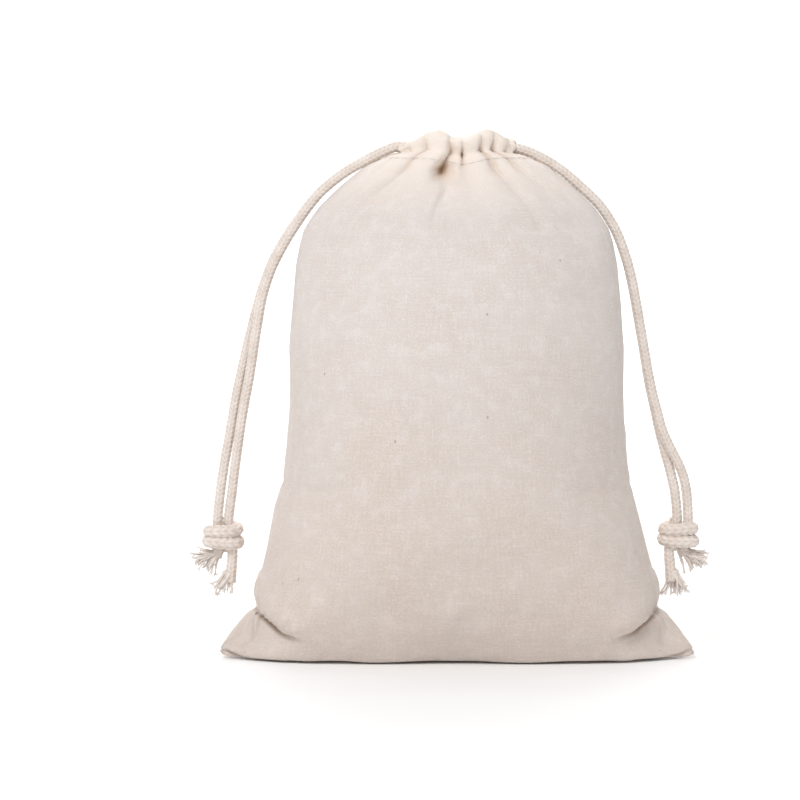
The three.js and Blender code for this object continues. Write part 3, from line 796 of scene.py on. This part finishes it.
def lay_gathers(grid):
    """Carries the settled shoulders up to the mouth in folds that fade below the cords."""
    rows = np.arange(grid.shape[0])
    grid = blur_columns(grid, 4.0 * np.clip((rows - 56) / 16, 0, 1))
    oval, inward, place = mouth_path()
    start = np.concatenate([oval, mouth_height(oval[:, 0])[:, None]], axis=1)
    outward = np.concatenate([-inward, np.zeros((len(inward), 1))], axis=1)
    ends = np.abs(oval[:, 0] / CROWN_RADII[0])[:, None] ** 2
    slope = LEAVING_SLOPE[0] + (LEAVING_SLOPE[1] - LEAVING_SLOPE[0]) * ends
    leave = outward * np.sqrt(1 - slope**2) - np.array([0, 0, 1]) * slope
    end = grid[SHOULDER_ROW]
    arrive = grid[SHOULDER_ROW - 1] - grid[SHOULDER_ROW + 1]
    arrive /= np.linalg.norm(arrive, axis=1)[:, None]
    chord = np.linalg.norm(end - start, axis=1)[:, None]
    pulled = grid.copy()
    count = CORD_ROW - SHOULDER_ROW
    for k in range(1, count + 1):
        t = 1 - k / count
        h00, h10 = 2 * t**3 - 3 * t**2 + 1, t**3 - 2 * t**2 + t
        h01, h11 = -2 * t**3 + 3 * t**2, t**3 - t**2
        row = h00 * start + h10 * chord * 0.9 * leave + h01 * end + h11 * chord * arrive
        below = (count - k) * FLAT_LENGTH / ROWS
        row[:, :2] += inward * valleys_at(place, below)[:, None]
        pulled[SHOULDER_ROW + k] = row
    return pulled


def fit_outline(grid):
    """Scales the width at each height so that the bag fills its outline."""
    rows = slice(5, CORD_ROW + 1)
    scales = []
    for height, half in OUTLINE:
        widths = [np.interp(height, z, np.abs(x)) for x, z in zip(grid[rows, :, 0].T, grid[rows, :, 2].T)]
        scales.append(half / max(widths))
    heights = [0.004] + [h for h, _ in OUTLINE] + [MOUTH_Z]
    table = catmull_rom(np.stack([heights, [1.0] + scales + [1.0]], axis=1), 8)
    factor = np.interp(grid[:, :, 2], table[:, 0], table[:, 1])
    grid[:, :, 0] *= factor
    return grid


FLOOR_GAP = 0.0008
SINK_HEIGHT = 0.060                       # the base settles over this height
FRONT_SINK, BACK_SINK = 0.010, 0.019      # and by this much at the floor, between the corner ears
FRONT_SINK_X, BACK_SINK_X = (0.073, 0.062), (0.064, 0.048)     # from nothing to all of it


def stand_flat(grid):
    """Lets the lower edge down to the floor along its whole width, and flattens the base on it."""
    lowest = grid[:, :, 2].min(axis=0)
    lift = blur_columns(lowest[None, :, None], [2.0])[0, :, 0] - FLOOR_GAP
    share = np.clip(1 - grid[:, :, 2] / 0.045, 0, 1) ** 2
    grid[:, :, 2] -= lift[None, :] * share
    x, z = np.abs(grid[:, :, 0]), grid[:, :, 2]
    is_back = (np.arange(grid.shape[1]) <= COLUMNS)[None, :]
    sinks = []
    for (none_at, all_at), most in ((FRONT_SINK_X, FRONT_SINK), (BACK_SINK_X, BACK_SINK)):
        inside = np.clip((none_at - x) / (none_at - all_at), 0, 1)
        sinks.append(most * inside * inside * (3 - 2 * inside))
    sink = np.where(is_back, sinks[1], sinks[0]) * np.clip(1 - z / SINK_HEIGHT, 0, 1) ** 2
    grid[:, :, 2] = np.maximum(z - sink, FLOOR_GAP)
    # The sewn edge is straight between the ears
    rows = np.arange(grid.shape[0])
    even = blur_columns(grid, 3.0 * np.clip((14 - rows) / 8, 0, 1))
    share = np.clip((0.060 - x) / 0.010, 0, 1)[:, :, None]
    return grid * (1 - share) + even * share


# The corner ears are pressed flat below a crease that runs inwards from a notch in the outline
# (x, height, depth) along the crease
CREASE = [
    (0.0622, 0.0146, 0.0018), (0.0600, 0.0131, 0.0036), (0.0567, 0.0108, 0.0042), (0.0544, 0.0093, 0.0036),
    (0.0522, 0.0088, 0.0024), (0.0495, 0.0080, 0.0010), (0.0470, 0.0078, 0.0),
]
# (height, half width) of the ear and the notch above it
EAR_OUTLINE = [
    (0.0, 0.0706), (0.0008, 0.0724), (0.0020, 0.0736), (0.0034, 0.0738), (0.0073, 0.0708),
    (0.0110, 0.0677), (0.0130, 0.0659), (0.0139, 0.0645), (0.0147, 0.0627), (0.0160, 0.0630),
    (0.0190, 0.0637), (0.0225, 0.0634), (0.0260, 0.0622),
]
EAR_FOOT_ROW = 4


def smooth_ears(grid):
    """Evens out the small wrinkles of the ears, which are pressed flat in the real bag."""
    for _ in range(30):
        x, z = np.abs(grid[:, :, 0]), grid[:, :, 2]
        share = np.clip((x - 0.054) / 0.008, 0, 1) * np.clip((0.021 - z) / 0.006, 0, 1)
        share[0] = 0
        around = np.roll(grid, 1, axis=1) + np.roll(grid, -1, axis=1)
        upright = np.concatenate([grid[:1], grid[:-1]]) + np.concatenate([grid[1:], grid[-1:]])
        grid = grid + (0.25 * (around + upright) - grid) * 0.7 * share[:, :, None]
    return grid


def sculpt_ears(fine):
    """Creases each ear off from the body's bulge, and gives its edge the right outline."""
    fine = smooth_ears(fine)
    outline = np.array(EAR_OUTLINE)
    heights = np.arange(FLOOR_GAP, outline[-1, 0] + 0.0005, 0.0005)
    columns = np.arange(-16, 17)
    for seam_column, sign in ((0, 1), (fine.shape[1] // 2, -1)):
        near = sign * fine[:60, (seam_column + columns) % fine.shape[1]]
        widths = [np.interp(heights, sign * near[:, k, 2], near[:, k, 0]) for k in range(len(columns))]
        z, x = fine[:, :, 2], sign * fine[:, :, 0]
        want, have = np.interp(z, outline[:, 0], outline[:, 1]), np.interp(z, heights, np.max(widths, axis=0))
        towards_edge = np.clip((x / have - 0.80) / 0.20, 0, 1) ** 1.3
        fine[:, :, 0] *= np.where(z < outline[-1, 0], 1 + (want / have - 1) * towards_edge, 1)

    route = catmull_rom(CREASE, 12)
    x, z = np.abs(fine[:, :, 0]), fine[:, :, 2]
    away = (x[:, :, None] - route[:, 0]) ** 2 + (z[:, :, None] - route[:, 1]) ** 2
    closest = away.argmin(axis=2)
    distance = np.sqrt(away.min(axis=2))
    above = z > route[closest, 1]
    depth = np.where(z < 0.030, route[closest, 2], 0)
    groove = depth * np.exp(-(distance / np.where(above, 0.0008, 0.0038)) ** 1.4)
    bulge = np.where(above, 0.5 * depth * np.exp(-((distance - 0.0035) / 0.0040) ** 2), 0)
    seam = seam_y(z)
    out = np.sign(fine[:, :, 1] - seam)
    thickness = np.abs(fine[:, :, 1] - seam)
    fine[:, :, 1] = seam + out * np.maximum(thickness + bulge - groove, np.minimum(thickness, 0.0008))
    # The front of an ear comes straight down to the floor, where its sewn edge lies
    half = fine.shape[1] // 2
    share = np.clip((np.abs(fine[0, half:, 0]) - 0.056) / 0.007, 0, 1)
    for row in range(EAR_FOOT_ROW):
        fine[row, half:, 1] += (fine[EAR_FOOT_ROW, half:, 1] - fine[row, half:, 1]) * share
    fine[0, 1:half] = fine[0, :half:-1]
    # Held as a distance, so that the shader can paint the creases' shade as a line finer than the mesh
    return fine, np.where(above, distance, -distance), depth / max(point[2] for point in CREASE)


# Height of the crown's top over the mouth's width, for the front
CROWN = [
    (-0.0185, 0.1578), (-0.0165, 0.1590), (-0.0145, 0.1607), (-0.012, 0.1624), (-0.009, 0.1640),
    (-0.006, 0.1646), (-0.003, 0.1632), (0.0, 0.1618), (0.0034, 0.1618), (0.0065, 0.1637), (0.0098, 0.1650),
    (0.013, 0.1638), (0.0155, 0.1616), (0.0175, 0.1592),
]
BACK_CROWN_DROP = 0.0018


def crown_height(x, is_front):
    crown = np.array(CROWN)
    height = np.interp(x, crown[:, 0], crown[:, 1])
    return height - np.where(is_front, 0, BACK_CROWN_DROP)


def raise_crown(grid):
    """Rounds the cloth above the cords up and over into the crown."""
    _, inward, place = mouth_path()
    deep = valleys_at(place, 0)
    base = grid[CORD_ROW]
    is_front = np.arange(grid.shape[1]) > COLUMNS
    top = np.maximum(crown_height(base[:, 0], is_front) - 0.12 * deep, base[:, 2] + 0.0016)
    rows = []
    steps = grid.shape[0] - 1 - CORD_ROW
    for k in range(1, steps + 1):
        share = k / steps
        row = base.copy()
        row[:, :2] -= inward * deep[:, None] * 0.95 * share**0.45
        row[:, :2] *= 1 + 0.05 * math.sin(math.pi * share) - 0.10 * share**3
        row[:, 2] = base[:, 2] + (top - base[:, 2]) * math.sin(0.5 * math.pi * share) ** 0.9
        rows.append(row)
    return np.concatenate([grid[:CORD_ROW + 1], np.array(rows)])


def fine_cloth():
    """The settled cloth at its finished fineness, with the signed distance to the ears' creases and their
    depth.
    """
    grid, flat = starting_form()
    grid = settle(grid, flat)
    grid = stand_flat(grid)
    grid = lay_gathers(grid)
    grid = fit_outline(grid)
    grid = raise_crown(grid)
    fine = catmull_rom(grid, FINE)
    fine = catmull_rom(fine.transpose(1, 0, 2), FINE, closed=True).transpose(1, 0, 2)
    fine, crease_distance, crease_depth = sculpt_ears(fine)
    rows, columns = fine.shape[:2]
    normal = surface_normals(fine)
    lumps = 0.00045 * smooth_noise(rows, columns, 14, rng) + 0.00016 * smooth_noise(rows, columns, 5, rng)
    height = np.linspace(0, 1, rows)[:, None]
    fade = np.clip(height / 0.06, 0, 1) * np.clip((0.90 - height) / 0.15, 0, 1)
    seam_distance = np.minimum(np.arange(columns) % (columns // 2), (-np.arange(columns)) % (columns // 2))
    fade = fade * np.clip(seam_distance / 8, 0, 1)[None, :]
    fine = fine + normal * (lumps * fade)[:, :, None]
    pull = 0.00045 * np.exp(-(seam_distance / 1.3) ** 2)[None, :] * np.clip((0.97 - height) / 0.05, 0, 1)
    fine = fine - normal * pull[:, :, None]
    return fine, crease_distance, crease_depth


def fold_depth(grid):
    """0 on the outside of the gathers and 1 deep in a fold, near the mouth only: the strength of the painted
    shade in the folds.
    """
    _, _, place = mouth_path()
    rows = []
    for height in np.linspace(0, FLAT_LENGTH, grid.shape[0]):
        below = max(CORD_V - height, 0)
        above = max(height - CORD_V, 0)
        deep = valleys_at(place, below) * math.exp(-(above / 0.0025) ** 2)
        rows.append(np.clip(deep / DARKEST_DEPTH, 0, 1))
    return catmull_rom(np.array(rows).T, FINE, closed=True).T.clip(0, 1)


def sheet_piece(name, grid, thickness, flat_start, attributes):
    """A muslin patch with thickness from a grid of its outer face; flat positions run from flat_start."""
    normal = unit(np.cross(np.gradient(grid, axis=1), np.gradient(grid, axis=0)))
    points, faces, rim = two_faced(grid, grid - normal * thickness)
    u = flat_start[0] + cell * np.arange(grid.shape[1])
    v = flat_start[1] + cell * np.arange(grid.shape[0])
    uv = np.stack(np.meshgrid(u, v), axis=-1).reshape(-1, 2)
    piece = mesh_object(name, points, faces, MUSLIN, uv=np.concatenate([uv, uv]),
                        attributes={key: np.tile(values.ravel(), 2) for key, values in attributes.items()})
    # The cloth's edge stays sharp
    on_rim = np.zeros(len(points), dtype=bool)
    on_rim[rim] = on_rim[rim + len(uv)] = True
    ends = np.empty(2 * len(piece.data.edges), dtype=np.int32)
    piece.data.edges.foreach_get("vertices", ends)
    sharp = on_rim[ends.reshape(-1, 2)].all(axis=1)
    piece.data.attributes.new("sharp_edge", "BOOLEAN", "EDGE").data.foreach_set("value", sharp)
    return piece


cloth_grid, crease_distance, crease_depth = fine_cloth()
fold_grid = fold_depth(cloth_grid)
fine_columns = COLUMNS * FINE
cell = FLAT_WIDTH / fine_columns     # size of one cell on the flat panel, the same up and across
stitch_row = STITCH_ROW * FINE


def panel_columns(is_front):
    start = fine_columns if is_front else 0
    return np.arange(start, start + fine_columns + 1) % (2 * fine_columns)


HEM_ROWS = 12
OVER_CORDS = 0.1616      # the inner layer passes over the cords at this height
SLIT_DROP = 0.005        # and dips into the closed mouth by this much


def hem_grid(columns):
    """The gathered hem: its outer layer, the fold at the top, and the inner layer drawn over the cords
    into the closed mouth."""
    outer = cloth_grid[stitch_row:, columns]
    edge = outer[-1]
    rows = []
    for k in range(1, HEM_ROWS + 1):
        share = k / HEM_ROWS
        row = edge.copy()
        row[:, :2] *= 1 - 0.90 * share
        level = min(1, 1.5 * share) ** 0.8
        dip = SLIT_DROP * max(0, (share - 0.75) / 0.25) ** 1.5
        row[:, 2] = edge[:, 2] * (1 - level) + OVER_CORDS * level
        row[:, 2] += 0.0004 * math.sin(math.pi * min(1, 3 * share)) - dip
        rows.append(row)
    return np.concatenate([outer, np.array(rows)])


# ---- stitching, seam allowances and filling ----


def stitch_line(name, columns):
    """Lockstitches along the foot of the hem, each a short plump thread pulled into the cloth."""
    row = catmull_rom(cloth_grid[stitch_row + 1, columns], 4)
    normal = catmull_rom(surface_normals(cloth_grid)[stitch_row + 1, columns], 4)
    row = row + normal * 0.00012
    reach = reach_along(row)
    pitch, gap = 0.0026, 0.0005
    made = Pieces()
    start = 0.001
    while start + pitch < reach[-1]:
        at = np.linspace(start, start + pitch - gap, 7)
        route = np.stack([np.interp(at, reach, row[:, k]) for k in range(3)], axis=1)
        bulge = np.sin(np.linspace(0, math.pi, 7))
        points, faces = tube(route, 0.00008 + 0.00008 * bulge, 8, first=(0.1, 0.2, 1))
        made.add(points, faces)
        start += pitch
    return made.build(name, THREAD)


def seam_strip(name, edge, inward, width=0.006, thick=0.0009):
    """A turned-in seam allowance along a seam, with its overlock thread wound over the raw edge."""
    edge = edge + inward * 0.001
    grid = edge + inward * np.linspace(0.0008, width, 7)[:, None, None]
    side = unit(np.cross(np.gradient(grid, axis=1), inward[None]))
    made = Pieces()
    points, faces, _ = two_faced(grid - side * thick / 2, grid + side * thick / 2)
    made.add(points, faces)
    # The thread swings between the allowance's middle (row 3) and raw edge (row 6), on one face and the other
    swing = np.arange(grid.shape[1] * 3)
    at = np.linspace(0, grid.shape[1] - 1, len(swing)).astype(int)
    row = np.where(swing % 2 == 0, 3, 6)
    face = np.where(swing % 4 < 2, 1.0, -1.0)[:, None]
    route = grid[row, at] + side[row, at] * face * (thick / 2 + 0.0001)
    points, faces = tube(route, 0.00012, 6, first=(0.2, 1, 0.1))
    made.add(points, faces)
    return made.build(name, THREAD)


def side_seam(name, column):
    around = cloth_grid[4:stitch_row - 6]
    edge = around[:, column]
    return seam_strip(name, edge, unit((around.mean(axis=1) - edge) * (1, 0.2, 0)))


def bottom_seam(name):
    edge = cloth_grid[0, 6:fine_columns - 6]
    above = 0.5 * (cloth_grid[6, 6:fine_columns - 6] + cloth_grid[6, -6:-(fine_columns - 6):-1])
    return seam_strip(name, edge, unit((above - edge) * (0, 1, 1)))


def filling_piece():
    """Loose herbs packed against the cloth, up to the shoulders."""
    keep = np.arange(16, int(0.90 * ROWS) * FINE, 4)
    inset = cloth_grid[keep][:, ::4] - surface_normals(cloth_grid)[keep][:, ::4] * 0.0022
    centre = inset.mean(axis=1, keepdims=True)
    inset[:, :, 0] = np.clip(inset[:, :, 0], -0.056, 0.056)
    crumbs = 0.0005 * rng.normal(size=inset.shape[:2])
    inset = inset + unit(centre - inset) * (0.0006 + np.abs(crumbs))[:, :, None]
    top = inset[-1].mean(axis=0)
    caps = [inset[-1] * (1 - t) + top * t + np.array([0, 0, 0.001 * t]) for t in (0.3, 0.6, 0.85)]
    bottom = inset[0].mean(axis=0)
    feet = [inset[0] * (1 - t) + bottom * t for t in (0.85, 0.6, 0.3)]
    rings = np.concatenate([np.array(feet), inset, np.array(caps)])
    rows, columns = rings.shape[:2]
    points = np.concatenate([rings.reshape(-1, 3), [bottom], [top]])
    place = np.arange(rows * columns).reshape(rows, columns)
    after = np.roll(place, -1, axis=1)
    faces = np.stack([place[:-1], after[:-1], after[1:], place[1:]], axis=-1).reshape(-1, 4).tolist()
    faces += [(rows * columns, int(b), int(a)) for a, b in zip(place[0], after[0])]
    faces += [(rows * columns + 1, int(a), int(b)) for a, b in zip(place[-1], after[-1])]
    return mesh_object("packed_herbs", points, faces, HERBS)


# ---- riding and replacing ----


def attach(piece, body, node):
    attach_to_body(piece, body)
    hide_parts(node)


filling = filling_piece()
attach(filling, "bag", "herb_filling")
for name, is_front in (("front", True), ("back", False)):
    columns = panel_columns(is_front)
    flat_u = 0.0 if is_front else 0.2
    # Attributes that place the painted shade in the gathers' folds and along the ears' creases
    shades = {"fold": fold_grid, "crease_distance": crease_distance, "crease_depth": crease_depth}
    marks = {key: values[:stitch_row + 1, columns] for key, values in shades.items()}
    outer = cloth_grid[:stitch_row + 1, columns]
    panel = sheet_piece(f"{name}_muslin", outer, CLOTH_THICK, (flat_u, 0), marks)
    # Painted shade on the hem's inner layer, darkening towards its top, where it turns into the closed mouth
    inner = np.repeat(np.linspace(0, 1, HEM_ROWS)[:, None] ** 3, len(columns), axis=1)
    deep = {"fold": np.concatenate([fold_grid[stitch_row:, columns], inner])}
    hem = sheet_piece(f"{name}_hem", hem_grid(columns), HEM_THICK, (flat_u, STITCH_V), deep)
    stitches = stitch_line(f"{name}_hem_stitches", columns)
    attach(panel, "bag", f"{name}_panel")
    attach(hem, "bag", f"{name}_channel")
    attach(stitches, "bag", f"{name}_channel_stitching")
attach(side_seam("right_seam_allowance", 0), "bag", "right_side_seam")
attach(side_seam("left_seam_allowance", fine_columns), "bag", "left_side_seam")
attach(bottom_seam("bottom_seam_allowance"), "bag", "bottom_seam")

tail_seed = SEED
for side_name, cord in CORDS.items():
    side, exit_z, end_body = cord["side"], cord["exit_z"], f"{side_name}_cord_end"
    points, faces, groove, _ = braided(ring_points(cord), CORD_RADIUS * 0.85, 0.0004, 24)
    ring = mesh_object(f"{side_name}_cord_ring", points, faces, BRAID, attributes={"groove": groove})
    attach(ring, "bag", f"{side_name}_cord_in_channel")
    knot = knot_piece(f"{side_name}_cord_knot", cord["knot"], side)
    attach(knot, end_body, f"{side_name}_knot")
    for strand_name, strand_side in STRANDS.items():
        exit_y = strand_side * EXIT_HALF_GAP
        inside = [(side * x, exit_y, exit_z - sag) for x, sag in INSIDE_ROUTE]
        route = strand_points(cord["pair"], strand_side)
        into_knot = (route[-1][0], route[-1][1], route[-1][2] - 0.0035)
        points, faces, groove, path = braided(inside + route + [into_knot])
        strand = f"{side_name}_{strand_name}"
        piece = mesh_object(f"{strand}_cord", points, faces, BRAID, attributes={"groove": groove})
        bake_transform(piece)
        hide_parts(f"{strand}_lead", f"{strand}_strand")
        generator = np.random.default_rng(tail_seed)
        tail_seed += 1
        tail = tail_piece(f"{strand}_frayed_tail", cord["knot"], side, TAILS[strand_name], generator)
        attach(tail, end_body, f"{strand}_tail")

# ---- floor and light ----


def backdrop():
    """A pale floor that curves up into a wall."""
    profile = [(-3.0, 0.0), (1.2, 0.0)]
    for k in range(1, 13):
        angle = math.radians(90 * k / 12)
        profile.append((1.2 + 0.8 * math.sin(angle), 0.8 - 0.8 * math.cos(angle)))
    profile.append((2.0, 4.0))
    points = [(x, y, z) for y, z in profile for x in (-4.0, 4.0)]
    faces = [(2 * k, 2 * k + 1, 2 * k + 3, 2 * k + 2) for k in range(len(profile) - 1)]
    nodes = Nodes("studio_paper")
    place = nodes.add("ShaderNodeTexCoord").outputs["Object"]
    tone = nodes.noise(place, 3.0, 2.0, 0.5)
    nodes.link(nodes.mix(tone, (0.93, 0.93, 0.93, 1), (0.95, 0.95, 0.95, 1)), "Base Color")
    nodes.shader.inputs["Roughness"].default_value = 0.9
    return mesh_object("studio_floor", points, faces, nodes.material)


backdrop()


def area_light(name, place, target, size, power, colour=(1, 1, 1)):
    light = bpy.data.lights.new(name, "AREA")
    light.shape = "DISK"
    light.size = size
    light.energy = power
    light.color = colour
    lamp = bpy.data.objects.new(name, light)
    lamp.location = place
    lamp.rotation_euler = (Vector(target) - Vector(place)).to_track_quat("-Z", "Y").to_euler()
    bpy.context.collection.objects.link(lamp)


AIM = (0, 0, 0.09)
area_light("key", (-0.42, -0.88, 1.15), AIM, 0.6, 10.0, (1.0, 0.985, 0.985))
area_light("fill", (0.9, -0.8, 0.5), AIM, 0.9, 0.5, (1.0, 0.93, 0.85))
area_light("rim", (0.1, 0.9, 1.0), AIM, 0.8, 4.0)
area_light("wall", (0, 0.6, 1.6), (0, 2.0, 0.9), 1.6, 30.0)

world = bpy.data.worlds.new("studio")
bpy.context.scene.world = world
world.use_nodes = True
world.node_tree.nodes["Background"].inputs[0].default_value = (1, 1, 1, 1)
world.node_tree.nodes["Background"].inputs[1].default_value = 0.57
bpy.context.scene.view_settings.view_transform = "Standard"
